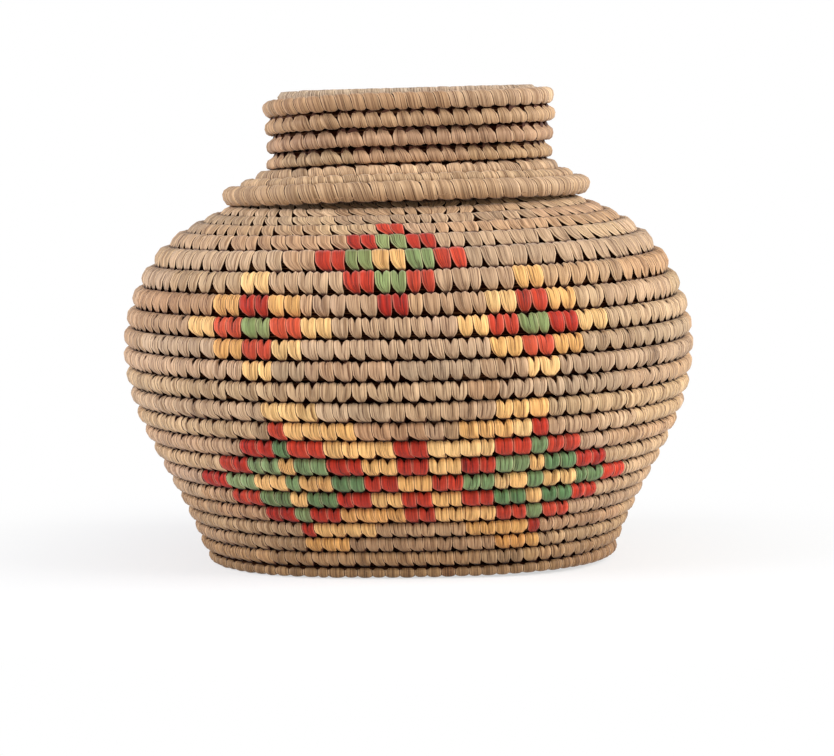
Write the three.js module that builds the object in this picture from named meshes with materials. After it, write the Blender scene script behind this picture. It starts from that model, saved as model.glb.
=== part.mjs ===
// Oblong coiled basket with a lift-off lid, as a hand basket maker builds it.
// A bundle of dry grass, bound round with flat strips, is laid in an oval spiral: first the
// flat floor, then the wall, row on row, out to the belly and in again to the mouth. The lid
// is a second coil, worked the other way round from its flat top down the neck to the brim,
// and a short third coil under it drops into the mouth as a collar.
// Millimetres, +Z up, long side along X, front at -Y, origin under the middle of the floor.
import * as THREE from 'three';

// Plan of every coil
const START_HALF_LENGTH = 25; // half of the straight piece that a coil begins with
const BOW_RADIUS = 900; // the larger, the straighter the long sides stay on wide rows
const STEPS_PER_TURN = 28;
const SIDES = 6; // corners of the bundle's section

// Free spaces
const ROW_GAP = 0.86; // between neighbouring rows of one coil
const BUTT_GAP = 0.3; // between the ends of two rows that follow each other
const SEAT_GAP = 0.35; // between the lid and what it rests on, and the collar and the lid
const COLLAR_CLEARANCE = 1.0; // between the collar and the inside of the mouth

// Basket: half thickness of the bundle, and the angle at which a row is laid on the one
// before it. An angle of 0 lies flat beside it, 90 stands on top, and past 90 leans in.
const FLOOR_SIDE_PASSES = 16; // times the flat floor's coil runs along the long side
const WALL_ROWS = 16;
const SHOULDER_ROWS = 6;
const MOUTH_ROWS = 2;
const MOUTH_COIL_END = 24.25; // the wall's coil stops here, counted in rows from the foot
const FLOOR_BUNDLE = 2.5;
const FOOT_BUNDLE = 2.45;
const WALL_BUNDLE = 3.0;
const SHOULDER_BUNDLE = 3.85;
const NECKLINE_BUNDLE = 2.75;
const MOUTH_BUNDLE = 2.65;
const FOOT_ANGLE = 74;
const LOWER_WALL_ANGLE = 68.5;
const UPPER_WALL_ANGLE = 63;
const BELLY_ANGLE = 85;
const ABOVE_BELLY_ANGLE = 112;
const LOW_SHOULDER_ANGLE = 127;
const SHOULDER_ANGLE = 146;
const NECKLINE_ANGLE = 158;
const MOUTH_ANGLE = 164;

// Lid: the same, with angles below 0 because its rows go down
const LID_SIDE_PASSES = 6;
const NECK_ROWS = 4;
const BRIM_ROWS = 2;
const LID_COIL_END = 7.5;
const LID_BUNDLE = 2.65;
const NECK_BUNDLE = 2.9;
const RIM_BUNDLE = 3.05;
const LID_EDGE_ANGLE = -15;
const NECK_TOP_ANGLE = -101;
const NECK_ANGLE = -95;
const NECK_FOOT_ANGLE = -90;
const BRIM_TURN_ANGLE = -63;
const BRIM_ANGLE = -28;
const RIM_ANGLE = -25;
const NECK_OVER_COLLAR = 2.5; // how far the neck's foot stands outside the collar
const LID_ASIDE = 2.0; // the lid is set a little to the right, so that its brim looks centred

// Collar
const COLLAR_ROWS = 2;
const COLLAR_BUNDLE = 2.15;
const COLLAR_DRAW_IN = 0.9; // how much each row is drawn in below the one above

// A coil's last stretch is thinned out and bound down on the row before
const TAIL_TURNS = 0.25;
const TAIL_BUNDLE_SHARE = 0.4;

// Made by hand, the mouth and the lid stand a little higher at the right than at the left
const LEAN = 0.018; // rise over run along X at the mouth and above
const BELLY_ROW = 13; // below it nothing leans
const REST_ROW = 22; // from this row up the lean is whole

const TURN_SEAM = 0.5; // rows are counted from the front and meet at the back
const QUARTER = 0.25;
const FULL_CIRCLE = 2 * Math.PI;
const FLAT_TO_CORNER = Math.cos(Math.PI / SIDES);

// A smooth curve through stations [place, value] that never swings past them
function through(stations) {
  const place = stations.map((station) => station[0]);
  const value = stations.map((station) => station[1]);
  const last = place.length - 1;
  const rise = place.slice(1).map((at, i) => (value[i + 1] - value[i]) / (at - place[i]));
  const slope = value.map((unused, i) => {
    if (i === 0 || i === last) return rise[Math.min(i, last - 1)];
    const [before, after] = [rise[i - 1], rise[i]];
    return before * after <= 0 ? 0 : (2 * before * after) / (before + after);
  });
  return (at) => {
    const inside = Math.min(Math.max(at, place[0]), place[last]);
    let i = 0;
    while (i < last - 1 && inside > place[i + 1]) i += 1;
    const span = place[i + 1] - place[i];
    const u = (inside - place[i]) / span;
    const ease = u * u * (3 - 2 * u);
    const leave = u * (1 - u) * (1 - u) * span * slope[i];
    const arrive = u * u * (u - 1) * span * slope[i + 1];
    return value[i] + (value[i + 1] - value[i]) * ease + leave + arrive;
  };
}

// Point of a row's plan where its outward direction is at the angle facing. All rows are
// parallels of the same straight start, each at its own half width, and the wider ones bow
// out a little along their sides.
function planPoint(halfWidth, facing) {
  const bow = halfWidth ** 2 / BOW_RADIUS;
  const long = START_HALF_LENGTH + bow;
  const [c, s] = [Math.cos(facing), Math.sin(facing)];
  const reach = Math.hypot(long * c, bow * s);
  const out = halfWidth - bow;
  return [(long * long * c) / reach + out * c, (bow * bow * s) / reach + out * s];
}

// Outward directions at even steps round one turn, from the front to the right and on.
// Even means even along the belly, so that every row has its corners on the same lines.
function evenDirections(halfWidth) {
  const fine = 4000;
  const front = -Math.PI / 2;
  const run = [0];
  let before = planPoint(halfWidth, front);
  for (let i = 1; i <= fine; i += 1) {
    const here = planPoint(halfWidth, front + (FULL_CIRCLE * i) / fine);
    run.push(run[i - 1] + Math.hypot(here[0] - before[0], here[1] - before[1]));
    before = here;
  }
  const directions = [];
  for (let step = 0, i = 0; step < STEPS_PER_TURN; step += 1) {
    const wanted = (run[fine] * step) / STEPS_PER_TURN;
    while (run[i] < wanted) i += 1;
    directions.push(front + (FULL_CIRCLE * i) / fine);
  }
  return directions;
}

// A coil whose rows follow each other: bundle(row) is its half thickness, angle(row) the
// angle in degrees at which it is laid on the row before, and up to flatUntil it lies flat.
function layCoil({ bundle, angle, flatUntil, flatHalfWidth, flatHeight, end }) {
  const pitch = 2 * bundle(flatUntil) + ROW_GAP;
  const thickness = (row) => {
    const left = Math.min(Math.max((end - row) / TAIL_TURNS, 0), 1);
    return bundle(row) * (TAIL_BUNDLE_SHARE + (1 - TAIL_BUNDLE_SHARE) * left);
  };
  const lay = (row) => THREE.MathUtils.degToRad(angle(row));
  const centre = (row) => {
    if (row <= flatUntil) {
      return { halfWidth: flatHalfWidth + pitch * (row - flatUntil), z: flatHeight };
    }
    const before = centre(row - 1);
    const step = thickness(row) + thickness(row - 1) + ROW_GAP;
    const turn = lay(row);
    return {
      halfWidth: before.halfWidth + step * Math.cos(turn),
      z: before.z + step * Math.sin(turn),
    };
  };
  return { thickness, lay, centre, end };
}

// Half width of a flat spiral's last row, from the times it passes along the long side.
// Its first pass lies a quarter of the pitch off the middle and the second closes on it.
function flatSpiral(sidePasses, halfThickness) {
  const turns = sidePasses / 2 - QUARTER;
  return { turns, halfWidth: turns * (2 * halfThickness + ROW_GAP) };
}

// Basket coil
const floorSpiral = flatSpiral(FLOOR_SIDE_PASSES, FLOOR_BUNDLE);
const lastRow = WALL_ROWS + SHOULDER_ROWS + MOUTH_ROWS;
const bodyCoil = layCoil({
  bundle: through([
    [1, FLOOR_BUNDLE],
    [3, FOOT_BUNDLE],
    [8, WALL_BUNDLE],
    [14, WALL_BUNDLE],
    [17.5, SHOULDER_BUNDLE],
    [20, NECKLINE_BUNDLE],
    [lastRow, MOUTH_BUNDLE],
  ]),
  angle: through([
    [1, 0],
    [2, FOOT_ANGLE],
    [3, LOWER_WALL_ANGLE],
    [8, UPPER_WALL_ANGLE],
    [BELLY_ROW, BELLY_ANGLE],
    [16, ABOVE_BELLY_ANGLE],
    [18, LOW_SHOULDER_ANGLE],
    [20, SHOULDER_ANGLE],
    [REST_ROW, NECKLINE_ANGLE],
    [lastRow, MOUTH_ANGLE],
  ]),
  flatUntil: 1,
  flatHalfWidth: floorSpiral.halfWidth,
  flatHeight: FLOOR_BUNDLE * FLAT_TO_CORNER,
  end: MOUTH_COIL_END,
});
const bodyStart = 1 - floorSpiral.turns + QUARTER;

// Collar coil: it hangs plumb inside the mouth, a little drawn in
const mouthInside = (() => {
  const mouthEnd = MOUTH_COIL_END - TAIL_TURNS;
  return bodyCoil.centre(mouthEnd).halfWidth - bodyCoil.thickness(mouthEnd);
})();
const collarPitch = 2 * COLLAR_BUNDLE + ROW_GAP;
const collarFoot = mouthInside - COLLAR_CLEARANCE - COLLAR_BUNDLE;
const collarTop = collarFoot + COLLAR_DRAW_IN * (COLLAR_ROWS - TURN_SEAM);
const collarFall = Math.sqrt(collarPitch ** 2 - COLLAR_DRAW_IN ** 2);
const collarCoil = {
  thickness: () => COLLAR_BUNDLE,
  lay: () => -Math.PI / 2,
  centre: (row) => ({ halfWidth: collarTop - COLLAR_DRAW_IN * row, z: -collarFall * row }),
  end: COLLAR_ROWS + TURN_SEAM,
};

// Lid coil: as wide at the neck's foot as the collar asks for
const lidSpiral = flatSpiral(LID_SIDE_PASSES, LID_BUNDLE);
const neckFootRow = NECK_ROWS;
const brimEnd = NECK_ROWS + BRIM_ROWS;
function lidCoilOf(topHalfWidth) {
  return layCoil({
    bundle: through([
      [1, LID_BUNDLE],
      [2, NECK_BUNDLE],
      [neckFootRow - 1, NECK_BUNDLE],
      [neckFootRow, LID_BUNDLE],
      [brimEnd, LID_BUNDLE],
      [brimEnd + 1, RIM_BUNDLE],
    ]),
    angle: through([
      [0, 0],
      [1, LID_EDGE_ANGLE],
      [2, NECK_TOP_ANGLE],
      [3, NECK_ANGLE],
      [neckFootRow, NECK_FOOT_ANGLE],
      [neckFootRow + 1, BRIM_TURN_ANGLE],
      [brimEnd, BRIM_ANGLE],
      [brimEnd + 1, RIM_ANGLE],
    ]),
    flatUntil: 0,
    flatHalfWidth: topHalfWidth,
    flatHeight: 0,
    end: LID_COIL_END,
  });
}
const neckSpread = lidCoilOf(0).centre(neckFootRow).halfWidth;
const topHalfWidth = collarTop + NECK_OVER_COLLAR - neckSpread;
const lidCoil = lidCoilOf(topHalfWidth);
const lidPitch = 2 * LID_BUNDLE + ROW_GAP;
const lidMissing = topHalfWidth - lidSpiral.halfWidth;
const lidStart = QUARTER - lidSpiral.turns + Math.round((-2 * lidMissing) / lidPitch) / 2;

// Rows of a coil that pass one place of the plan, step steps round from the front
function rowsAt(coil, first, step, hand) {
  const rows = [];
  const offset = (hand * step) / STEPS_PER_TURN;
  for (let row = Math.ceil(first - offset) + offset; row <= coil.end; row += 1) {
    rows.push({ ...coil.centre(row), r: coil.thickness(row) });
  }
  return rows;
}

// How far the upper coil has to be raised to lie SEAT_GAP clear on the lower one, when it
// is set aside along X
function liftToRest(upper, upperHand, lower, lowerHand, setAside) {
  let lift = -Infinity;
  for (let step = 0; step < STEPS_PER_TURN; step += 1) {
    for (const high of rowsAt(upper.coil, upper.first, step, upperHand)) {
      for (const low of rowsAt(lower.coil, lower.first, step, lowerHand)) {
        const reach = high.r + low.r + SEAT_GAP;
        const aside = high.halfWidth - low.halfWidth + setAside * Math.cos(directions[step]);
        if (Math.abs(aside) < reach) {
          lift = Math.max(lift, low.z + Math.sqrt(reach ** 2 - aside ** 2) - high.z);
        }
      }
    }
  }
  return lift;
}

const directions = evenDirections(bodyCoil.centre(BELLY_ROW).halfWidth);
const LEFTWARD = -1; // seen from above, the lid's coils run clockwise
const RIGHTWARD = 1; // and the basket's runs the other way
const brim = { coil: lidCoil, first: NECK_ROWS };
const neck = { coil: lidCoil, first: 1 };
const shoulder = { coil: bodyCoil, first: WALL_ROWS };
const collar = { coil: collarCoil, first: TURN_SEAM };
const lidHeight = liftToRest(brim, LEFTWARD, shoulder, RIGHTWARD, LID_ASIDE);
const collarHeight = lidHeight - liftToRest(neck, LEFTWARD, collar, LEFTWARD, 0);

// The lean grows from nothing at the belly to its whole where the lid rests
const bellyHeight = bodyCoil.centre(BELLY_ROW).z;
const restHeight = bodyCoil.centre(REST_ROW).z;
function leant(point) {
  const share = Math.min(Math.max((point.z - bellyHeight) / (restHeight - bellyHeight), 0), 1);
  point.z += LEAN * share * share * point.x;
  return point;
}

// Centre and corners of the bundle at one step of a coil
function section(coil, step, hand, height) {
  const row = step / STEPS_PER_TURN;
  const facing = directions[((step % STEPS_PER_TURN) + STEPS_PER_TURN) % STEPS_PER_TURN];
  const { halfWidth, z } = coil.centre(row);
  const lay = coil.lay(row);
  const place = (width, up) => {
    const [x, y] = planPoint(width, facing);
    return new THREE.Vector3(hand * x, y, up + height);
  };
  const corners = [];
  for (let i = 0; i < SIDES; i += 1) {
    const around = (FULL_CIRCLE * i) / SIDES;
    const along = coil.thickness(row) * Math.cos(around);
    const across = coil.thickness(row) * Math.sin(around);
    const outward = along * Math.cos(lay) + across * Math.sin(lay);
    const upward = along * Math.sin(lay) - across * Math.cos(lay);
    const [x, y] = [Math.cos(facing), Math.sin(facing)];
    corners.push(place(halfWidth, z).add(new THREE.Vector3(hand * x * outward, y * outward, upward)));
  }
  return { centre: leant(place(halfWidth, z)), corners: corners.map(leant), r: coil.thickness(row) };
}

// One closed solid along a coil, from row first to row last, its ends drawn back a little
// so that rows that follow each other keep the butt gap
function coilGeometry(coil, first, last, hand, height) {
  const sections = [];
  const [from, to] = [first, last].map((row) => Math.round(row * STEPS_PER_TURN));
  for (let step = from; step <= to; step += 1) sections.push(section(coil, step, hand, height));
  const drawBack = (end, next) => {
    const shift = next.centre.clone().sub(end.centre).setLength(BUTT_GAP / 2);
    end.corners.forEach((corner) => corner.add(shift));
    end.centre.add(shift);
  };
  drawBack(sections[0], sections[1]);
  drawBack(sections.at(-1), sections.at(-2));

  const positions = sections.flatMap((one) => one.corners.flatMap((corner) => corner.toArray()));
  const triangles = [];
  const face = (a, b, c) => triangles.push(...(hand > 0 ? [a, b, c] : [a, c, b]));
  for (let ring = 0; ring + 1 < sections.length; ring += 1) {
    for (let i = 0; i < SIDES; i += 1) {
      const [a, b] = [ring * SIDES + i, ring * SIDES + ((i + 1) % SIDES)];
      face(a, b, a + SIDES);
      face(b, b + SIDES, a + SIDES);
    }
  }
  const lastRing = (sections.length - 1) * SIDES;
  for (let i = 1; i + 1 < SIDES; i += 1) {
    face(0, i + 1, i);
    face(lastRing, lastRing + i, lastRing + i + 1);
  }
  const geometry = new THREE.BufferGeometry();
  geometry.setAttribute('position', new THREE.Float32BufferAttribute(positions, 3));
  geometry.setIndex(triangles);
  geometry.computeVertexNormals();
  return geometry;
}

// Least free space between turns of one unbroken coil, on its centre points and midway
function leastGap(coil, first, last, hand) {
  const points = [];
  const [from, to] = [first, last].map((row) => Math.round(row * STEPS_PER_TURN));
  for (let step = from; step <= to; step += 1) {
    const here = section(coil, step, hand, 0);
    const before = points.at(-1);
    if (before) {
      const middle = before.centre.clone().add(here.centre).multiplyScalar(0.5);
      points.push({ step: step - 0.5, centre: middle, r: here.r });
    }
    points.push({ step, centre: here.centre, r: here.r });
  }
  let least = Infinity;
  for (const one of points) {
    for (const other of points) {
      if (other.step - one.step >= STEPS_PER_TURN / 2) {
        least = Math.min(least, one.centre.distanceTo(other.centre) - one.r - other.r);
      }
    }
  }
  return least.toFixed(2);
}

const grass = (color) => new THREE.MeshStandardMaterial({ color, roughness: 0.75, metalness: 0 });
const FLOOR_TAN = 0x9c7a55;
const WALL_TAN = 0xbd9a72;
const SHOULDER_TAN = 0xc4a27b;
const LID_TAN = 0xb48a61;

function coilPiece(name, material, ...coilArguments) {
  const piece = new THREE.Mesh(coilGeometry(...coilArguments), material);
  piece.name = name;
  return piece;
}

// Full turns of a coil as rows, each from the back seam round to the back seam
function addRows(group, prefix, material, count, rowBefore, coil, hand, height) {
  for (let i = 1; i <= count; i += 1) {
    const row = rowBefore + i;
    const name = `${prefix}_${String(i).padStart(2, '0')}`;
    const last = Math.min(row + TURN_SEAM, coil.end);
    group.add(coilPiece(name, material, coil, row - TURN_SEAM, last, hand, height));
  }
}

const basket = new THREE.Group();
const STEP = 1 / STEPS_PER_TURN;
const bodyFirst = bodyStart - STEP;
basket.add(coilPiece('floor_coil', grass(FLOOR_TAN), bodyCoil, bodyFirst, TURN_SEAM, RIGHTWARD, 0));
addRows(basket, 'wall_row', grass(WALL_TAN), WALL_ROWS, 0, bodyCoil, RIGHTWARD, 0);
const shoulderTan = grass(SHOULDER_TAN);
addRows(basket, 'shoulder_row', shoulderTan, SHOULDER_ROWS, WALL_ROWS, bodyCoil, RIGHTWARD, 0);
const shoulderEnd = WALL_ROWS + SHOULDER_ROWS;
addRows(basket, 'mouth_row', shoulderTan, MOUTH_ROWS, shoulderEnd, bodyCoil, RIGHTWARD, 0);

const lid = new THREE.Group();
const lidTan = grass(LID_TAN);
const lidFirst = lidStart - STEP;
const rimFirst = brimEnd + TURN_SEAM;
lid.add(coilPiece('lid_top_coil', lidTan, lidCoil, lidFirst, TURN_SEAM, LEFTWARD, lidHeight));
addRows(lid, 'lid_neck_row', lidTan, NECK_ROWS, 0, lidCoil, LEFTWARD, lidHeight);
addRows(lid, 'lid_brim_row', lidTan, BRIM_ROWS, NECK_ROWS, lidCoil, LEFTWARD, lidHeight);
lid.add(coilPiece('lid_rim_row', lidTan, lidCoil, rimFirst, LID_COIL_END, LEFTWARD, lidHeight));
addRows(lid, 'lid_collar_row', lidTan, COLLAR_ROWS, 0, collarCoil, LEFTWARD, collarHeight);
lid.position.x = LID_ASIDE;
basket.add(lid);

// The origin is under the middle of the whole, whose outline the spiral makes uneven
const middle = new THREE.Box3().setFromObject(basket).getCenter(new THREE.Vector3());
basket.position.set(-middle.x, -middle.y, 0);

const floorGap = leastGap(bodyCoil, bodyFirst, TURN_SEAM, RIGHTWARD);
const lidTopGap = leastGap(lidCoil, lidFirst, TURN_SEAM, LEFTWARD);
console.log(`floor coil: least gap between its turns ${floorGap} mm`);
console.log(`lid top coil: least gap between its turns ${lidTopGap} mm`);

export default basket;
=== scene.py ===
# %% [markdown]
# # An oblong coiled basket and its lid
#
# The real thing is a rope of dry grass, laid in an oval spiral and bound with flat straps of
# leaf. Each row is one more turn of the same rope, and every strap goes round the new turn and
# through the turn before it. This script makes it the same way. It works out where the rope
# runs, bends a straight rope round that line, and lays some thousands of straps on it.
#
# All lengths are in metres. The long side lies along X, and the front is at -Y.

import math

import bmesh
import bpy
import numpy as np
from mathutils import Euler, Matrix, Vector


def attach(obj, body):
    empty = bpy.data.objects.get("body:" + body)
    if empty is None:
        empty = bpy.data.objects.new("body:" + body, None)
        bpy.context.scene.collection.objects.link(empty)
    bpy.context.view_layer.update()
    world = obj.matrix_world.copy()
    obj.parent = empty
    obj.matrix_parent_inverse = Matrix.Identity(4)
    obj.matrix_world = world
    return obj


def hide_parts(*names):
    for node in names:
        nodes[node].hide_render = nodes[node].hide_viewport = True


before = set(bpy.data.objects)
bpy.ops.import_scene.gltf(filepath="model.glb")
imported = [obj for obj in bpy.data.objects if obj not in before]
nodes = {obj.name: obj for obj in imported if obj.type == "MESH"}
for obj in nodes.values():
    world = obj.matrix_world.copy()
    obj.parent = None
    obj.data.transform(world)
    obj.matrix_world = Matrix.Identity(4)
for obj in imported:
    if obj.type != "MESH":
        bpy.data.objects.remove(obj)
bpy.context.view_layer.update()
MM = 0.001  # one millimetre in metres

# %% [markdown]
# ## Camera
#
# The photograph was taken from a little above the lid with a long lens, which the widths of the
# rows at the front and at the sides give away. A camera could also be aimed by a constraint.
# Here its distance, its height, its roll and two pixel places are written down, because each
# can be read from the picture: the rows look level at the height of the lens.

# %% Camera
PICTURE_WIDTH = 834  # pixels
PICTURE_HEIGHT = 756
FOCAL_LENGTH = 2700  # pixels
HORIZON = 100  # pixel row at the height of the lens
AXIS_COLUMN = 409  # pixel column of the basket's middle
CAMERA_DISTANCE = 0.956
CAMERA_HEIGHT = 0.1623
ROLL = 0.009  # radians: the picture stands a little askew
SENSOR_WIDTH = 36.0  # in millimetres, as Blender gives it

camera = bpy.data.objects.new("camera", bpy.data.cameras.new("camera"))
bpy.context.collection.objects.link(camera)
bpy.context.scene.camera = camera
camera.data.sensor_width = SENSOR_WIDTH
camera.data.lens = FOCAL_LENGTH * SENSOR_WIDTH / PICTURE_WIDTH
nod = math.atan((PICTURE_HEIGHT / 2 - HORIZON) / FOCAL_LENGTH)
turn = math.atan((PICTURE_WIDTH / 2 - AXIS_COLUMN) / FOCAL_LENGTH)
upright = Euler((math.pi / 2 - nod, 0, -turn)).to_matrix()
camera.location = (0, -CAMERA_DISTANCE, CAMERA_HEIGHT)
camera.rotation_euler = (upright @ Matrix.Rotation(-ROLL, 3, "Z")).to_euler()
bpy.context.scene.view_settings.view_transform = "Standard"
print(f"lens {camera.data.lens:.1f} mm, nodding {math.degrees(nod):.1f} degrees")

# %% [markdown]
# ## Shader arithmetic
#
# A material is a graph of small nodes, and a formula such as `1 - mask` takes one node for each
# sign. Placing them one by one hides the thought, so a node's output is wrapped in a class
# whose operators add the Math nodes. Everything else comes from one method.

# %% Shader arithmetic
class Value:
    """One output of a shader node. Arithmetic on it adds Math nodes."""

    def __init__(self, finish, output):
        self.finish = finish
        self.output = output

    def maths(self, operation, first, second=0.0):
        sockets = {"Value": first, "Value_001": second}
        return self.finish.node("ShaderNodeMath", {"operation": operation}, sockets)

    def __add__(self, other):
        return self.maths("ADD", self, other)

    def __sub__(self, other):
        return self.maths("SUBTRACT", self, other)

    def __rsub__(self, other):
        return self.maths("SUBTRACT", other, self)

    def __mul__(self, other):
        return self.maths("MULTIPLY", self, other)

    def __abs__(self):
        return self.maths("ABSOLUTE", self)

    __radd__ = __add__
    __rmul__ = __mul__


# %% Nodes of a finish
class Finish:
    """The nodes of one material, or of the world."""

    def __init__(self, owner):
        owner.use_nodes = True
        self.owner = owner
        self.tree = owner.node_tree
        self.tree.nodes.clear()

    def node(self, kind, settings=None, sockets=None, output=0):
        """Any node: first its settings, then the values or links of its sockets."""
        made = self.tree.nodes.new(kind)
        for name, setting in (settings or {}).items():
            setattr(made, name, setting)
        inputs = {socket.identifier: socket for socket in made.inputs}
        for name, value in (sockets or {}).items():
            if isinstance(value, Value):
                self.tree.links.new(value.output, inputs[name])
            else:
                inputs[name].default_value = value
        return Value(self, made.outputs[output]) if made.outputs else made

    def attribute(self, name, output):
        return self.node("ShaderNodeAttribute", {"attribute_name": name}, output=output)

    def join(self, x, y, z):
        return self.node("ShaderNodeCombineXYZ", sockets={"X": x, "Y": y, "Z": z})

    def ramp(self, value, start, end):
        sockets = {"Value": value, "From Min": start, "From Max": end}
        return self.node("ShaderNodeMapRange", {"interpolation_type": "SMOOTHSTEP"}, sockets)

    def blend(self, factor, first, second, how="MIX"):
        settings = {"data_type": "RGBA", "blend_type": how, "clamp_factor": True}
        sockets = {"Factor_Float": factor, "A_Color": first, "B_Color": second}
        return self.node("ShaderNodeMix", settings, sockets, output=2)

    def noise(self, vector, detail=2.0, roughness=0.5):
        sockets = {"Vector": vector, "Scale": 1.0, "Detail": detail, "Roughness": roughness}
        return self.node("ShaderNodeTexNoise", sockets=sockets)

    def seen(self):
        """1 where the eye meets a surface directly or in a reflection, 0 for lighting."""
        rays = [
            self.node("ShaderNodeLightPath", output=name)
            for name in ("Is Camera Ray", "Is Glossy Ray", "Is Transmission Ray")
        ]
        either = rays[0].maths("MAXIMUM", rays[0], rays[1])
        return either.maths("MAXIMUM", either, rays[2])


def linear(red, green, blue):
    """A colour in steps of 0 to 255, taken off the sRGB curve as the shader wants it."""
    channels = [c / 255 for c in (red, green, blue)]
    return tuple(c / 12.92 if c < 0.04 else ((c + 0.055) / 1.055) ** 2.4 for c in channels)


# %% [markdown]
# ## Floor and background
#
# The basket stands on white paper that runs on out of the picture. A curved sheet would show a
# grey fold, so the floor is flat. Near the basket it is white paper that takes its shadow, and
# further out it turns by degrees into the plain white of the background.

# %% Floor and background
FLOOR_HALF_SIZE = 6.0
SHADOW_REACH = 0.07  # up to here the floor is only paper
WHITE_REACH = 0.22  # and from here on it is only background
NEAR_WHITE = 0.6  # share of plain background close to the basket
PAPER = (0.93, 0.93, 0.93, 1)
WHITE = (1, 1, 1, 1)

paper = Finish(bpy.data.materials.new("white_paper"))
away = paper.node(
    "ShaderNodeVectorMath",
    {"operation": "LENGTH"},
    {"Vector": paper.node("ShaderNodeTexCoord", output="Object")},
    output="Value",
)
matt = paper.node("ShaderNodeBsdfDiffuse", sockets={"Color": PAPER})
glow = paper.node("ShaderNodeEmission", sockets={"Color": WHITE, "Strength": 1.0})
outer = paper.ramp(away, SHADOW_REACH, WHITE_REACH)
far = (NEAR_WHITE + (1 - NEAR_WHITE) * outer) * paper.seen()
both = paper.node("ShaderNodeMixShader", sockets={"Fac": far, "Shader": matt, "Shader_001": glow})
paper.node("ShaderNodeOutputMaterial", sockets={"Surface": both})

shape = bmesh.new()
bmesh.ops.create_grid(shape, x_segments=1, y_segments=1, size=FLOOR_HALF_SIZE)
floor_mesh = bpy.data.meshes.new("floor")
shape.to_mesh(floor_mesh)
shape.free()
floor_mesh.materials.append(paper.owner)
floor = bpy.data.objects.new("floor", floor_mesh)
bpy.context.collection.objects.link(floor)
print("floor laid")

# %% [markdown]
# ## Light
#
# In the picture the basket's round ends are brighter than its middle, the right one most of all,
# and hardly anything throws a shadow. That is the light of two large soft lamps, one at
# each side, with white walls all round. The left lamp is weaker and a little cooler. The world
# gives the walls' even light. Their sum is set so that a colour comes out about as it is written.

# %% Light
SKY = 0.33  # share of the light that comes evenly from all round
LAMP_SIZE = 1.0
LAMP_DISTANCE = 1.6
LAMP_RISE = math.radians(28)
AIM = Vector((0, 0, 0.08))
LAMPS = {  # how far each is turned round the basket from the front, its watts and its colour
    "right_lamp": (math.radians(73), 29.8, (1.0, 1.0, 1.0)),
    "left_lamp": (math.radians(-73), 21.6, (0.98, 0.99, 1.08)),
}

world = Finish(bpy.data.worlds.new("studio"))
bpy.context.scene.world = world.owner
strength = SKY + (1 - SKY) * world.seen()
sky = world.node("ShaderNodeBackground", sockets={"Color": WHITE, "Strength": strength})
world.node("ShaderNodeOutputWorld", sockets={"Surface": sky})

for name, (round_by, power, tint) in LAMPS.items():
    lamp = bpy.data.objects.new(name, bpy.data.lights.new(name, "AREA"))
    bpy.context.collection.objects.link(lamp)
    lamp.data.size = LAMP_SIZE
    lamp.data.energy = power
    lamp.data.color = tint
    turned = Matrix.Rotation(round_by, 3, "Z") @ Matrix.Rotation(-LAMP_RISE, 3, "X")
    reach = turned @ Vector((0, -LAMP_DISTANCE, 0))
    lamp.location = AIM + reach
    lamp.rotation_euler = (-reach).to_track_quat("-Z", "Y").to_euler()
    print(f"{name} at {lamp.location.to_tuple(2)}")

# %% [markdown]
# ## The line of the coil
#
# First comes the line that the rope follows. A spiral of its own could be drawn by hand, but
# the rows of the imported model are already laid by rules, so the same rules are followed
# here. A row is counted in turns from the foot: 5.0 is the front of the fifth row, 5.25 its
# right end, and 5.5 its middle at the back. Two helpers come first: a smooth curve through a few
# stations, and the oval that every row follows at its own half width. The places worked out in
# a turn crowd at the front and back, where the narrow ovals of the floor have their length.

# %% Curve through stations
def through(*stations):
    """A smooth curve through (place, value) stations that never swings past them."""
    place, value = np.array(stations, float).T
    rise = np.diff(value) / np.diff(place)
    slope = np.concatenate(([rise[0]], np.zeros(len(rise) - 1), [rise[-1]]))
    for i in range(1, len(rise)):
        before, after = rise[i - 1], rise[i]
        if before * after > 0:
            slope[i] = 2 * before * after / (before + after)

    def curve(at):
        inside = np.clip(at, place[0], place[-1])
        i = np.clip(np.searchsorted(place, inside, side="right") - 1, 0, len(rise) - 1)
        span = place[i + 1] - place[i]
        u = (inside - place[i]) / span
        eased = value[i] + (value[i + 1] - value[i]) * u * u * (3 - 2 * u)
        leave = u * (1 - u) ** 2 * span * slope[i]
        arrive = u * u * (u - 1) * span * slope[i + 1]
        return eased + leave + arrive

    return curve


def steady(value):
    """The same value everywhere, for where a curve is asked for."""
    return through((0, value), (1, value))


def smooth(value, start, end):
    """0 before start, 1 after end, and an even S between them."""
    share = np.clip((value - start) / (end - start), 0, 1)
    return share * share * (3 - 2 * share)


# %% Oval plan
START_HALF_LENGTH = 25 * MM  # of the straight piece that a coil begins with
BOW_RADIUS = 900 * MM  # the larger, the straighter the long sides stay on wide rows
FRONT = -math.pi / 2  # the outward direction there
FINE = 896  # places worked out in each turn of a coil
CROWDING = 0.995  # 0 spaces them evenly, and near 1 they crowd at the flat front and back
CAD_STEPS = 28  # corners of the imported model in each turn


def plan_point(half_width, facing):
    """The oval's point whose outward direction is at the angle facing."""
    bow = half_width**2 / BOW_RADIUS
    long = START_HALF_LENGTH + bow
    c, s = np.cos(facing), np.sin(facing)
    reach = np.hypot(long * c, bow * s)
    out = half_width - bow
    return long * long * c / reach + out * c, bow * bow * s / reach + out * s


def crowded(turns):
    """Moves even places in a turn towards the middle of the front and of the back."""
    return turns - CROWDING * np.sin(4 * math.pi * turns) / (4 * math.pi)


# %% [markdown]
# ## Coils
#
# A coil keeps, for every place along it, its half width, its height, how thick the bundle is
# and at what angle it lies on the turn before. Straps and bundle then only ask the coil where
# they are. Two directions matter in its cross-section: *onward*, from the turn before to
# this one, and *outside*, square to it.

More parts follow.
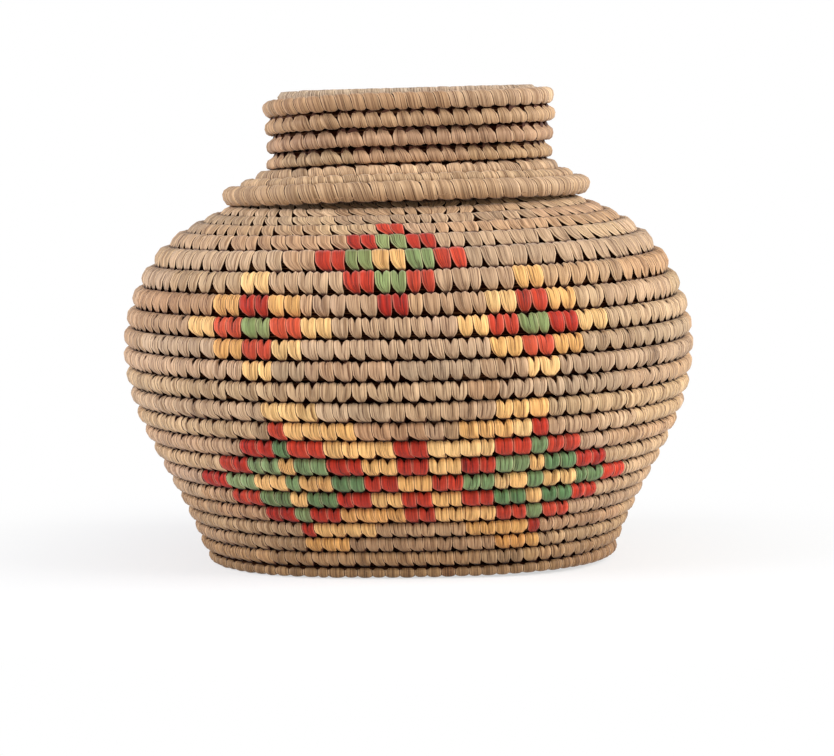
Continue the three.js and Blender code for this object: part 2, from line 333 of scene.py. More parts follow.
# %% Coil
ROW_GAP = 0.86 * MM  # free space between the bundles of two turns
TAIL_TURNS = 0.25  # the bundle is thinned over this last stretch
TAIL_BUNDLE_SHARE = 0.4  # of the bundle, at its very end
LEAN = 0.018  # rise over run along X at the mouth and above
TURNS_BEFORE = 1.1  # turns worked out ahead of a coil's start
TURNS_AFTER = 0.1  # and past its end


class Coil:
    """One unbroken rope: where it runs and how thick it is, row by row.

    hand is 1 where the rope runs to the right along the front, and -1 to the left. outside is
    1 where the rows climb, and -1 where they go down.
    """

    def __init__(self, bundle, angle, flat_until, start, end, hand, outside):
        self.start, self.end, self.hand, self.outside = start, end, hand, outside
        first, last = round((start - TURNS_BEFORE) * FINE), round((end + TURNS_AFTER) * FINE)
        self.rows = crowded(np.arange(first, last) / FINE)
        tail = np.clip((end - self.rows) / TAIL_TURNS, 0, 1)
        share = TAIL_BUNDLE_SHARE + (1 - TAIL_BUNDLE_SHARE) * tail
        self.bundle = bundle(self.rows) * MM * share
        self.lay = np.radians(angle(self.rows))
        self.half_width = (2 * bundle(flat_until) * MM + ROW_GAP) * (self.rows - flat_until)
        self.height = np.zeros(len(self.rows))
        for i in np.flatnonzero(self.rows > flat_until):
            step = self.bundle[i] + self.bundle[i - FINE] + ROW_GAP
            self.half_width[i] = self.half_width[i - FINE] + step * math.cos(self.lay[i])
            self.height[i] = self.height[i - FINE] + step * math.sin(self.lay[i])
        self.aside = np.zeros(2)

    def at(self, row, values):
        """What the values kept along the coil come to at a row."""
        return np.interp(row, self.rows, values)

    def row_at(self, run):
        """The row at so many metres along the coil."""
        return np.interp(run, self.run, self.rows)

    def facing(self, row):
        """The outward direction at a row, in even steps round the belly."""
        return np.interp(np.mod(row, 1) * belly_run[-1], belly_run, belly_facing)

    def place(self, row, out=0.0, up=0.0):
        """Points at a row, moved outwards in plan and upwards."""
        facing = self.facing(row)
        x, y = plan_point(self.at(row, self.half_width), facing)
        x = self.hand * (x + out * np.cos(facing))
        y = y + out * np.sin(facing)
        z = self.at(row, self.height) + up
        leaning = np.clip((z - belly_height) / (rest_height - belly_height), 0, 1) ** 2
        return np.stack([x + self.aside[0], y + self.aside[1], z + LEAN * leaning * x], axis=-1)

    def section(self, row, outside, onward, back=0):
        """Points outside and onward of the coil's middle at a row, or so many turns back.

        Both directions are those in which the row lies on the one before.
        """
        lay = self.at(row, self.lay)
        out = self.outside * np.sin(lay) * outside + np.cos(lay) * onward
        up = -self.outside * np.cos(lay) * outside + np.sin(lay) * onward
        return self.place(row - back, out, up)


# %% [markdown]
# ## The basket's coil
#
# It starts as a flat oval floor, turns up at the foot, leans out to the belly and in again over
# the shoulder to the mouth. A row's bundle is its half thickness in millimetres. Its angle is
# the one at which it lies on the row before: 0 is flat beside it, 90 stands on top of it, and
# past 90 it leans in.

# %% Basket coil
FLOOR_SIDE_PASSES = 16  # times the floor's rope runs along the long side
BELLY_ROW = 13  # below it nothing leans
REST_ROW = 22  # from here up the lean is whole
LAST_ROW = 24
QUARTER = 0.25  # of a turn
FLOOR_BUNDLE = 2.5
CAD_SIDES = 6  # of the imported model's bundle, which lies on one of them


def flat_turns(side_passes):
    """Turns of a flat spiral. Its first pass lies a quarter of the pitch off the middle."""
    return side_passes / 2 - QUARTER


def spiral_start(last_flat_row, side_passes):
    """The row at which a flat spiral starts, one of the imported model's steps early."""
    return last_flat_row - flat_turns(side_passes) + QUARTER - 1 / CAD_STEPS


body_bundle = through(
    (1, FLOOR_BUNDLE), (3, 2.45), (8, 3.0), (14, 3.0), (17.5, 3.85), (20, 2.75), (LAST_ROW, 2.65)
)
body_angle = through(
    (1, 0), (2, 74), (3, 68.5), (8, 63), (BELLY_ROW, 85), (16, 112), (18, 127), (20, 146),
    (REST_ROW, 158), (LAST_ROW, 164),
)
body_start = spiral_start(1, FLOOR_SIDE_PASSES)
body = Coil(body_bundle, body_angle, 1, body_start, LAST_ROW + QUARTER, hand=1, outside=1)
body.half_width += flat_turns(FLOOR_SIDE_PASSES) * (2 * FLOOR_BUNDLE * MM + ROW_GAP)
body.height += FLOOR_BUNDLE * MM * math.cos(math.pi / CAD_SIDES)
belly_half_width = body.at(BELLY_ROW, body.half_width)
belly_height = body.at(BELLY_ROW, body.height)
rest_height = body.at(REST_ROW, body.height)
print(f"belly half width {belly_half_width:.4f}, at height {belly_height:.4f}")

# %% [markdown]
# ## Even steps round the belly
#
# The belly is what is seen most, so a turn is divided evenly there. All other rows follow the
# same outward directions, and so the places of one column stand above each other.

# %% Even steps round the belly
BELLY_STEPS = 4000
belly_facing = np.linspace(FRONT, FRONT + 2 * math.pi, BELLY_STEPS + 1)
belly_points = np.stack(plan_point(belly_half_width, belly_facing))
belly_run = np.concatenate(([0], np.cumsum(np.hypot(*np.diff(belly_points)))))
print(f"once round the belly is {belly_run[-1]:.3f} m")

# %% [markdown]
# ## The lid's coil and the collar
#
# The lid is worked the other way round from its flat top, down the neck and out to the brim. The
# collar is a thinner coil under it, which drops into the mouth. Both take their width from the
# mouth, as a maker would try them on it.

# %% Collar
COLLAR_BUNDLE = 2.15
COLLAR_ROWS = 2
COLLAR_DRAW_IN = 0.9  # how much each row is drawn in below the one above
COLLAR_CLEARANCE = 1.0  # between the collar and the inside of the mouth
mouth_inside = body.at(LAST_ROW, body.half_width) - body.at(LAST_ROW, body.bundle)
collar_foot = mouth_inside - (COLLAR_CLEARANCE + COLLAR_BUNDLE) * MM
collar_top = collar_foot + COLLAR_DRAW_IN * (COLLAR_ROWS - 0.5) * MM
collar = Coil(
    steady(COLLAR_BUNDLE), steady(-90.0), flat_until=COLLAR_ROWS + 1,
    start=0.5, end=COLLAR_ROWS + 0.5, hand=-1, outside=-1,
)
collar_pitch = (2 * COLLAR_BUNDLE) * MM + ROW_GAP
collar.bundle = np.full(len(collar.rows), COLLAR_BUNDLE * MM)
collar.half_width = collar_top - COLLAR_DRAW_IN * MM * collar.rows
collar.height = -math.sqrt(collar_pitch**2 - (COLLAR_DRAW_IN * MM) ** 2) * collar.rows
print(f"collar half width {collar_top:.4f}, in a mouth of {mouth_inside:.4f}")

# %% Lid
LID_SIDE_PASSES = 6
NECK_ROWS = 4
RIM_ROW = 7
LID_BUNDLE = 2.65
NECK_BUNDLE = 2.9
NECK_OVER_COLLAR = 2.5  # how far the neck's foot stands outside the collar
lid_bundle = through(
    (1, LID_BUNDLE), (2, NECK_BUNDLE), (3, NECK_BUNDLE), (4, LID_BUNDLE), (6, LID_BUNDLE), (7, 3.05)
)
lid_angle = through((0, 0), (1, -15), (2, -101), (3, -95), (4, -90), (5, -63), (6, -28), (7, -25))
lid_start = spiral_start(0, LID_SIDE_PASSES)
lid = Coil(lid_bundle, lid_angle, 0, lid_start, RIM_ROW + 0.5, hand=-1, outside=-1)
lid.half_width += collar_top + NECK_OVER_COLLAR * MM - lid.at(NECK_ROWS, lid.half_width)
print(f"lid top half width {lid.at(0, lid.half_width):.4f}")

# %% [markdown]
# ## Seats
#
# The rules give each coil's form, but how high the lid rests and how far it is set aside
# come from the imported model. The middle of one row's corners there and the middle of the
# same row here tell how far a coil has to be moved. Because the lean follows the height, it
# is moved twice.

# %% Seats
def seat(coil, name, first, last):
    """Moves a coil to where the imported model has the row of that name."""
    corners = {tuple(round(c, 6) for c in v.co) for v in nodes[name].data.vertices}
    wanted = np.mean(sorted(corners), axis=0)
    rows = np.arange(round(first * CAD_STEPS), round(last * CAD_STEPS) + 1) / CAD_STEPS
    for repeat in range(2):
        missing = wanted - coil.place(rows).mean(axis=0)
        coil.height += missing[2]
        coil.aside += missing[:2]
    print(f"{name}: middle at {wanted.round(4)}")


seat(body, "wall_row_10", 9.5, 10.5)
seat(lid, "lid_neck_row_03", 2.5, 3.5)
seat(collar, "lid_collar_row_02", 1.5, 2.5)
for coil in (body, lid, collar):
    steps = np.diff(coil.place(coil.rows), axis=0)
    coil.run = np.concatenate(([0], np.cumsum(np.linalg.norm(steps, axis=1))))

# %% [markdown]
# ## Bundles
#
# The rope itself shows only as dark lines between the straps, but it has to be there, or one
# could look through the basket. A straight rod, cut into rings, is bent round it. Towards the
# turn before, some stalks are pulled out of it into a ridge by the straps, and this ridge
# closes the groove between the two turns. Where the straps lie flatter on the outside or
# reach less far onto the next row, the rope is pressed and drawn in, to stay under them.

# %% Bundle
BUNDLE_SIDES = 12
RINGS = 112  # in each turn
UNDER_STRAPS = 0.55 * MM  # how far the rope lies under the rows' rounding
OUTER_PROUD = 0.40 * MM  # how far outer straps mostly stand out from it
RIDGE_LINE = -0.99  # only the straight rod's corners beyond it, on X, are pulled into a ridge


def bend_bundle(coil, first, last, name):
    """One row's length of rope."""
    rings = round((last - first) * RINGS)
    shape = bmesh.new()
    bmesh.ops.create_cone(
        shape, cap_ends=True, segments=BUNDLE_SIDES, radius1=1, radius2=1, depth=1
    )
    long_edges = [e for e in shape.edges if abs(e.verts[0].co.z - e.verts[1].co.z) > 0.5]
    bmesh.ops.subdivide_edges(shape, edges=long_edges, cuts=rings - 1, use_grid_fill=True)
    mesh = bpy.data.meshes.new(name)
    shape.to_mesh(mesh)
    shape.free()
    mesh.shade_smooth()

    straight = corners_of(mesh)
    row = first + (last - first) * (straight[:, 2] + 0.5)
    thick = coil.at(row, coil.bundle)
    drawn_in = np.minimum(coil.at(row, coil.lap), 0)
    ridge = (straight[:, 0] < RIDGE_LINE) * (ROW_GAP + 2 * (UNDER_STRAPS - drawn_in))
    pressed = np.where(straight[:, 1] > 0, coil.at(row, coil.proud) - OUTER_PROUD, 0)
    outside = straight[:, 1] * (thick + pressed - UNDER_STRAPS)
    onward = straight[:, 0] * (thick + drawn_in - UNDER_STRAPS)
    set_corners(mesh, coil.section(row, outside, onward - ridge))
    along = mesh.attributes.new("run", "FLOAT_VECTOR", "POINT")
    run = np.stack([coil.at(row, coil.run), straight[:, 0], straight[:, 1]], axis=1)
    along.data.foreach_set("vector", run.astype(np.float32).ravel())
    return mesh


def corners_of(mesh):
    """The corners of a mesh, one row of numbers for each."""
    flat = np.empty(len(mesh.vertices) * 3, np.float32)
    mesh.vertices.foreach_get("co", flat)
    return flat.reshape(-1, 3).astype(float)


def set_corners(mesh, corners):
    """Moves the corners of a mesh to new places."""
    mesh.vertices.foreach_set("co", corners.astype(np.float32).ravel())
    mesh.update()


# %% [markdown]
# ## Where the straps lie
#
# A maker puts strap beside strap along the whole coil. For the pattern they have to line up
# at the middle of the front and of the back, so the count is evened out at the round ends, where
# nobody sees it. Columns lean a little, because each strap goes in just beside the last.

# %% Strap places
RNG = np.random.default_rng(11)  # all chance comes from here, so each run gives one basket
UNEVEN = 0.07  # of a strap's width
EVENED_OUT = (0.3, 0.7)  # the stretch between two stops over which the count is evened out


def strap_places(coil, stops, width):
    """Straps along a coil. A gap between two straps falls on each stop, a (row, shift)."""
    places = []
    for (row, shift), (next_row, next_shift) in zip(stops, stops[1:]):
        start = coil.at(row, coil.run) + shift * MM
        stop = coil.at(next_row, coil.run) + next_shift * MM
        wide, next_wide = width(row) * MM, width(next_row) * MM
        count = max(1, round(2 * (stop - start) / (wide + next_wide)))
        number = np.arange(count + 1)
        middle = smooth(number / count, *EVENED_OUT)
        from_start = start + number * wide
        from_stop = stop - (count - number) * next_wide
        gaps = from_start * (1 - middle) + from_stop * middle
        gaps[1:-1] += RNG.normal(0, UNEVEN * wide, count - 1)
        for i in range(count):
            first_half = i < count / 2
            places.append((
                (gaps[i] + gaps[i + 1]) / 2,
                gaps[i + 1] - gaps[i],
                row,
                row if first_half else next_row,
                i if first_half else i - count,
            ))
    fields = [(name, float) for name in ("middle", "span", "stretch", "stop", "number")]
    return np.array(places, dtype=fields)


def aims(coil, places, pull):
    """How far each strap's point moves to enter the middle of a strap one turn before.

    Where the straps of two turns stand in line the point goes all the way, and where they
    stand in gaps it stays, so that no two neighbours part.
    """
    rows = coil.row_at(places["middle"])
    number = np.interp(rows - 1, rows, np.arange(len(rows)))
    beside = number - np.round(number)
    return -pull * np.sin(2 * math.pi * beside) * places["span"] * (rows - 1 > rows[0])


# %% Straps of the basket, the lid and the collar
LID_COLUMN_SHIFT = -1.8  # millimetres in each row
COLLAR_STRAP = 5.2  # millimetres wide

# Stations of (row, millimetres)
strap_width = through(
    (1, 4.7), (4, 5.05), (6, 5.25), (8, 5.55), (10, 5.82), (11, 5.9), (12, 5.35), (15, 5.1),
    (18, 5.0), (22, 4.75), (24, 4.9),
)
column_shift = through((1, 6.0), (5, 3.1), (9, 0.5), (16, -4.9), (18, -5.8), (22, -5.8))
body_stops = [(body.start, 0.0)]
body_stops += [(half / 2, float(column_shift(half / 2))) for half in range(1, 2 * LAST_ROW + 1)]
body_places = strap_places(body, body_stops + [(body.end, 0.0)], strap_width)

lid_width = through((0, 4.9), (4, 4.95), (6, 5.4), (7, 5.7))
lid_stops = [(row + 0.5, LID_COLUMN_SHIFT * (row + 0.5)) for row in range(RIM_ROW)]
lid_places = strap_places(lid, [(lid.start, 0.0)] + lid_stops + [(lid.end, 0.0)], lid_width)

collar_stops = [(row + 0.5, 0.0) for row in range(COLLAR_ROWS + 1)]
collar_places = strap_places(collar, collar_stops, steady(COLLAR_STRAP))
print(f"straps: {len(body_places)} body, {len(lid_places)} lid, {len(collar_places)} collar")

# %% [markdown]
# ## The pattern
#
# Steps and diamonds are what a coil gives by itself: two straps to a step, one colour to a
# ring. A diamond's ring is the number of rows plus the number of steps from its middle. The
# large figure below is a butterfly: two wide wings with a narrow body and gold between them. The
# same figures are worked on the back.

# %% Pattern
TAN, GOLD, RED, ORANGE, GREEN, LEAF = range(6)
TOP_ROW, SIDE_ROW, WING_ROW = 18, 15, 7
SIDE_AT = 9  # straps from the middle to a side diamond
WING_AT = 7.5  # and to the middle of a wing
DIAMOND_RINGS = 3
WING_RINGS = 4
CHART_HALF_WIDTH = 18  # straps


def ring(rows_off, straps_off, lone_middle=False):
    """Which ring of a diamond a strap is in, at two straps to a step.

    A diamond with a lone middle has one strap there, and the others have two.
    """
    steps = math.ceil(abs(straps_off) / 2) if lone_middle else round(abs(straps_off) / 2)
    return abs(rows_off) + steps


def dye_of(row, number):
    """Colour of the strap at that row, counted from the middle of the front or the back."""
    at = number + 0.5
    inner = ring(row - TOP_ROW, at)
    if inner < DIAMOND_RINGS:
        return (GOLD, LEAF, RED)[inner]
    inner = ring(row - SIDE_ROW, abs(at) - SIDE_AT)
    if inner < DIAMOND_RINGS:
        paler = row < SIDE_ROW or at < 0 and row == SIDE_ROW
        return (LEAF, ORANGE if paler else RED, GOLD)[inner]
    return wing_dye(row - WING_ROW, at)


def wing_dye(rows_off, at):
    """Colours of the butterfly: its wings' rings, then its body, then the gold between them."""
    off = abs(at) - WING_AT
    rows_out = abs(rows_off)
    inner = ring(rows_off, off, lone_middle=True)
    if inner < WING_RINGS:
        return (GREEN, GOLD, GREEN, RED)[inner]
    if abs(at) < 1 and rows_out <= 2:
        return GOLD if rows_out == 0 else RED
    between = off < 0 and (rows_out <= 2 or rows_out == 3 and off >= -4)
    above_or_below = rows_out == 4 and -2.5 < off <= 0.1
    return GOLD if between or above_or_below else TAN


for row in range(TOP_ROW + DIAMOND_RINGS, WING_ROW - WING_RINGS - 1, -1):
    chart = [dye_of(row, number) for number in range(-CHART_HALF_WIDTH, CHART_HALF_WIDTH)]
    print("".join(".yroGg"[dye] for dye in chart))


# %% [markdown]
# ## A strap laid flat
#
# Thousands of straps are copies of a few, so each kind is made once, flat, as a maker would cut
# it: X across, Y along, Z up from the bundle. Along, the numbers are quarter turns round
# the bundle: 0 is its outermost line, 1 its edge towards the next row, -1 the groove towards the
# row before, and past -1 the strap goes into that row. A strap that is split by the next one
# has a notch where that one enters, which gives the rows their look of hearts. A strap narrows
# more from one side, because the next one is laid against it. An underside closes each strap.

# %% Flat strap
POINT = -1.42  # quarter turns: the strap's point
CROWN = 0.62  # millimetres from a strap's edge to its highest line
EDGE_SUNK = 0.45  # millimetres that its edge lies below the rounding of the row
VALLEY = 0.3  # millimetres down to a slit
ROUND_OFF = 0.19  # quarter turns that the corners of a strap's start stand back
CORNER = 0.50  # share of the half width where a corner begins
START_SHARE = 0.7  # share of the length that feels the notch and the corners
START_TUCK = (-0.02, 0.12)  # over these shares of the length a strap rises at its start
POINT_TUCK = (1.0, 0.82)  # and goes under at its point
LANES = (0.0, 0.17, 0.52, 0.84, 1.0)  # lines along a strap, from its middle to its edge


def flat_strap(name, steps, outline, notch=0.0, slit=0.34, lanes=LANES, to_side=0.0):
    """A strap as a small closed mesh, with UV across and along.

    notch is how deep it is split, in quarter turns, and slit how wide, as a share of the half
    width. to_side is 0 where it narrows evenly and 1 where it narrows from one side alone.
    """
    shape = bmesh.new()
    shape.loops.layers.uv.new("UVMap")
    columns = 2 * len(lanes) - 2
    bmesh.ops.create_grid(shape, x_segments=columns, y_segments=steps, size=0.5, calc_uvs=True)
    edge = [e for e in shape.edges if e.is_boundary]
    for vert in shape.verts:
        lane, along = vert.co.x * columns, 0.5 - vert.co.y
        across = math.copysign(lanes[round(abs(lane))], lane)
        early = 1 - smooth(along, 0.0, START_SHARE)
        in_slit = max(0.0, 1 - abs(across) / slit)
        back = notch * in_slit + ROUND_OFF * smooth(abs(across), CORNER, 1.0)
        width = outline(along)
        vert.co.x = 0.5 * (across * width + to_side * (1 - width))
        vert.co.y = 1 + (POINT - 1) * along - back * early
        sides = 1 - abs(across) ** 3
        ends = smooth(along, *POINT_TUCK) * smooth(along, *START_TUCK)
        valley = early * in_slit * (notch > 0)
        vert.co.z = (-EDGE_SUNK + CROWN * sides * ends - VALLEY * valley * ends) * MM
    for face in shape.faces:
        face.smooth = True
    bmesh.ops.edgeloop_fill(shape, edges=edge)
    bmesh.ops.recalc_face_normals(shape, faces=shape.faces)
    for e in edge:
        e.smooth = False
    mesh = bpy.data.meshes.new(name)
    shape.to_mesh(mesh)
    shape.free()
    print(f"{name}: {len(mesh.polygons)} faces")
    return mesh


# %% Kinds of strap
# Outlines, as stations of (share of the length from the start, share of the width)
heart = through(
    (0, 0.97), (0.24, 1.02), (0.46, 0.99), (0.60, 0.90), (0.74, 0.72), (0.87, 0.48), (1, 0.24)
)
petal = through((0, 0.98), (0.3, 1.02), (0.58, 0.99), (0.72, 0.90), (0.86, 0.70), (1, 0.44))
tongue = through(
    (0, 1.0), (0.2, 1.02), (0.45, 0.98), (0.62, 0.90), (0.78, 0.75), (0.9, 0.57), (1, 0.36)
)
neck = through((0, 0.96), (0.3, 1.02), (0.56, 1.0), (0.70, 0.91), (0.82, 0.76), (1, 0.46))
wide = through((0, 1.0), (0.3, 1.02), (0.62, 1.01), (0.76, 0.94), (0.88, 0.80), (1, 0.58))
wrap = through((0, 1.0), (0.6, 1.01), (0.85, 0.95), (1, 0.7))

heart_straps = [
    flat_strap("split_heart_strap", 6, heart, notch=0.85, slit=0.50, to_side=0.10),
    flat_strap("notched_heart_strap", 6, heart, notch=0.60, slit=0.45, to_side=0.10),
    flat_strap("heart_strap", 6, heart, notch=0.30, to_side=0.35),
]
petal_straps = [
    flat_strap("split_petal_strap", 6, petal, notch=0.70, slit=0.36, to_side=0.4),
    flat_strap("notched_petal_strap", 6, petal, notch=0.50, slit=0.34, to_side=0.5),
    flat_strap("petal_strap", 6, petal, notch=0.22, to_side=0.6),
]
tongue_straps = [
    flat_strap("notched_tongue_strap", 6, tongue, notch=0.15, to_side=0.4),
    flat_strap("tongue_strap", 6, tongue, to_side=0.6),
]
neck_straps = [
    flat_strap("notched_neck_strap", 7, neck, notch=0.20),
    flat_strap("neck_strap", 7, neck),
]
wide_straps = [flat_strap("wide_strap", 6, wide, to_side=0.3)]
wrap_straps = [flat_strap("wrap_strap", 14, wrap)]
inner_straps = [flat_strap("inner_strap", 5, wrap, lanes=(0.0, 0.7, 1.0))]

# %% [markdown]
# ## Laying the straps
#
# A row's straps are copied side by side and then bent onto the coil, all at once. Each one
# follows its own bundle, leaves it soon after its outermost line and runs taut and straight to
# the row before, where the strap it splits has its notch. Straps slant a little along the run,
# because each goes in just beside the last, and a row that is bound tight is not quite round.

# %% Strap laying
INNER_PROUD = 0.15 * MM  # how far inner straps stand out from the rows' rounding
OVER_EDGE = 2.0  # quarter turns that a strap goes on where there is no next row
TIP_UNEVEN = 0.07  # of a strap's width
LIFT_UNEVEN = 0.05 * MM
AIM_REACH = (-0.4, 1.4)  # quarter turns behind the outermost line over which a strap is aimed
SLANT_FROM = 0.4  # quarter turns: the line about which a strap slants
PRESSED = 0.82  # 1 would leave the bound rows round


def lay_straps(name, coil, places, aim, side, kinds, dyes=None):
    """The straps of one row on one side of the wall, as one mesh."""
    shape = bmesh.new()
    for place in places:
        shape.from_mesh(kinds[RNG.integers(len(kinds))])
    if side < 0:
        bmesh.ops.reverse_faces(shape, faces=shape.faces)
    mesh = bpy.data.meshes.new(name)
    shape.to_mesh(mesh)
    shape.free()

    across, along, lift = corners_of(mesh).T
    each = len(kinds[0].vertices)
    aim = aim + RNG.normal(0, TIP_UNEVEN, len(aim)) * places["span"]
    span, towards = np.repeat(places["span"], each), np.repeat(aim, each)
    run = np.repeat(places["middle"], each) + across * span
    slant = np.repeat(coil.at(coil.row_at(places["middle"]), coil.slant), each)
    run += towards * smooth(-along, *AIM_REACH) - slant * span * (along - SLANT_FROM)
    row = coil.row_at(run)
    lift = lift + np.repeat(RNG.normal(0, LIFT_UNEVEN, len(places)), each)
    leave = coil.at(row, coil.leave)
    along = np.where(along > 0, along * to_next_row(coil, row, side), along)
    own = skin_point(coil, row, side, np.maximum(along, leave), lift)
    entry = skin_point(coil, row, side, coil.at(row, coil.entry), lift, back=1)
    over = np.clip((leave - along) / (leave - POINT), 0, 1)[:, None]
    set_corners(mesh, own + (entry - own) * over)

    shades = np.ones((len(places), 4))
    shades[:, :3] = strap_colours(dyes or [TAN] * len(places))
    rows = coil.row_at(places["middle"])
    # painted shade at the neck, and darker and browner towards the foot
    shades[:, :3] *= 1 - coil.at(rows, coil.stain)[:, None] * SHADE_AND_BROWNING_TINT
    # a painted highlight, paler and greyer, on the lid's top
    shades[:, :3] += coil.at(rows, coil.fade)[:, None] * (HIGHLIGHT_GREY - shades[:, :3])
    dye = mesh.attributes.new("dye", "FLOAT_COLOR", "POINT")
    dye.data.foreach_set("color", np.repeat(shades, each, axis=0).astype(np.float32).ravel())
    blade = mesh.attributes.new("blade", "FLOAT", "POINT")
    blade.data.foreach_set("value", np.repeat(RNG.random(len(places)), each).astype(np.float32))
    return mesh


def to_next_row(coil, row, side):
    """Quarter turns from a bundle's outermost line to where the next row lies on it."""
    bend = coil.outside * side * (coil.at(row + 1, coil.lay) - coil.at(row, coil.lay))
    return np.where(row + 1 > coil.end, OVER_EDGE, 1 + bend / (math.pi / 2))


def squared(part):
    """Turns a sine or cosine into that of a circle pressed a little square."""
    return np.sign(part) * np.abs(part) ** PRESSED


def skin_point(coil, row, side, quarter, lift, back=0):
    """A point on the bundle's skin, so many quarter turns from its outermost line."""
    angle = quarter * math.pi / 2
    thick = coil.at(row - back, coil.bundle)
    proud = coil.at(row - back, coil.proud) if side > 0 else INNER_PROUD
    outside = side * (thick + proud + lift) * squared(np.cos(angle))
    onward = (thick + coil.at(row - back, coil.lap) + lift) * squared(np.sin(angle))
    return coil.section(row, outside, onward, back)


# %% [markdown]
# ## Colours
#
# Dried leaf is never one colour. One long strip makes a handful of straps before the next one is
# taken up, so neighbours share a shade: tan that is greyer, pinker or yellower, and dyes that
# took more or less well. The straps are also painted darker and browner towards the foot, with
# painted shade on the neck, and paler and greyer on the lid's top as a painted highlight.

# %% Colours
SHADES = {
    TAN: [
        linear(188, 156, 116), linear(170, 148, 120), linear(192, 154, 122), linear(200, 169, 123),
        linear(184, 138, 96), linear(212, 181, 145),
    ],
    GOLD: [linear(238, 185, 110), linear(226, 163, 89), linear(246, 205, 138)],
    RED: [linear(190, 47, 20), linear(173, 34, 15), linear(200, 68, 40)],
    ORANGE: [linear(220, 84, 48), linear(208, 70, 46), linear(226, 104, 64)],
    GREEN: [linear(106, 139, 86), linear(85, 121, 74), linear(142, 160, 108)],
    LEAF: [linear(138, 151, 90), linear(154, 166, 108), linear(118, 142, 86)],
}
NEW_STRIP = 0.12  # chance that a strap begins a new strip
SHADE_MIX = 0.8  # below 1, a strip keeps close to one or two of its dye's shades
STRAP_UNEVEN = 0.07  # from strap to strap of one strip, as a share of its brightness
SHADE_AND_BROWNING_TINT = np.array([1.0, 1.25, 1.6])  # how much the painted shade and browning take of red, green and blue
# paler grey painted on the lid's top as a highlight
HIGHLIGHT_GREY = linear(192, 178, 156)


def strap_colours(dyes):
    """Each strap's own shade, strip by strip."""
    colours = []
    for number, dye in enumerate(dyes):
        if number == 0 or dye != dyes[number - 1] or RNG.random() < NEW_STRIP:
            share = RNG.dirichlet([SHADE_MIX] * len(SHADES[dye]))
        colours.append(np.array(SHADES[dye]).T @ share * RNG.normal(1.0, STRAP_UNEVEN))
    return colours


print(f"{sum(map(len, SHADES.values()))} shades for {len(SHADES)} kinds of strip")

# %% [markdown]
# ## Finish of the straps
#
# A strap of leaf is ribbed along its length and cracks along its ribs. Its edges carry a pale
# painted highlight, and painted shade darkens its very edge, its slit and both ends, where they lie
# in the grooves.
# The ribs follow the strap's own UV, so they run together towards the point as the strap
# narrows. Each strap reads another part of the noise, so no two are alike.

# %% Strap finish: streaks
grass = Finish(bpy.data.materials.new("grass_strap"))
flat = grass.node("ShaderNodeUVMap", {"uv_map": "UVMap"})
split = grass.node("ShaderNodeSeparateXYZ", sockets={"Vector": flat})
across = Value(grass, split.output.node.outputs["X"])
along = 1 - Value(grass, split.output.node.outputs["Y"])
from_middle = abs(across - 0.5) * 2
dye = grass.attribute("dye", "Color")
blade = grass.attribute("blade", "Fac")


def streaks(count, length, jump, start, detail, roughness=0.5):
    """Noise drawn out along a strap. Each strap reads it at a place of its own."""
    vector = grass.join(across * count, along * length, blade * jump + start)
    return grass.noise(vector, detail, roughness)


fibres = streaks(count=14, length=1.2, jump=97, start=0, detail=2.0, roughness=0.6)
strands = streaks(count=7, length=0.8, jump=61, start=30, detail=1.0)
cracks = streaks(count=22, length=0.7, jump=43, start=70, detail=1.0)
print(f"fibres, strands and cracks: {len(grass.tree.nodes)} nodes")

# %% Strap finish: where it is pale or dark
# From the middle, 1 is a strap's edge. Along, 0 is its start and 1 its point.
STREAK = (0.30, 0.70)  # in the noise, from dark to pale
CRACK = (0.42, 0.32)
# across, the band of painted highlight along the edges
EDGE_HIGHLIGHT_ACROSS = (0.68, 0.80)
# painted shade at the very edge, where two straps meet in a groove
EDGE_SHADE_ACROSS, EDGE_SHADE_ALONG = (0.86, 0.94), (0.95, 0.62)
# painted shade in the slit
SLIT_ACROSS, SLIT_ALONG = (0.12, 0.03), (0.60, 0.15)
# painted shade at both ends, where they go into the grooves
START_SHADE, POINT_SHADE = (0.06, 0.0), (0.83, 0.95)
FIBRE_SHARE, STRAND_SHARE = 0.55, 0.45

light = grass.ramp(fibres, *STREAK) * FIBRE_SHARE + grass.ramp(strands, *STREAK) * STRAND_SHARE
crack = grass.ramp(cracks, *CRACK)
# painted highlight along the edges
edge_highlight = grass.ramp(from_middle, *EDGE_HIGHLIGHT_ACROSS)
# painted shade at the very edge
edge_shade = grass.ramp(from_middle, *EDGE_SHADE_ACROSS) * grass.ramp(along, *EDGE_SHADE_ALONG)
# painted shade in the slit
slit = grass.ramp(from_middle, *SLIT_ACROSS) * grass.ramp(along, *SLIT_ALONG)
# painted shade at both ends
tuck_shade = grass.ramp(along, *START_SHADE) + grass.ramp(along, *POINT_SHADE)
print(f"with painted edge highlights, and painted shade at edges, slits and ends: {len(grass.tree.nodes)} nodes")

# %% Strap finish: colour
DARK_STREAK, PALE_STREAK = (0.47, 0.39, 0.33), (1.34, 1.36, 1.42)
CRACK_TINT, CRACK_SHARE = (0.22, 0.12, 0.07), 0.85
# painted highlight on the edges: the dye made paler, with a pale pink mixed in
EDGE_TINT, EDGE_SHARE = (1.45, 1.5, 1.5), 0.8
HIGHLIGHT_PALE, HIGHLIGHT_PALE_SHARE = (*linear(244, 208, 172), 1), 0.22
# painted shade at the very edge
EDGE_SHADE_TINT, EDGE_SHADE_SHARE = (0.10, 0.04, 0.02), 0.9
# painted shade in the slit, more on some straps by chance
SLIT_SHADE_TINT, SLIT_LEAST, SLIT_MORE = (0.16, 0.07, 0.03), 0.3, 0.6  # more by chance, per strap
# painted shade at both ends
TUCK_SHADE_TINT, TUCK_SHADE_SHARE = (0.09, 0.025, 0.010), 0.97


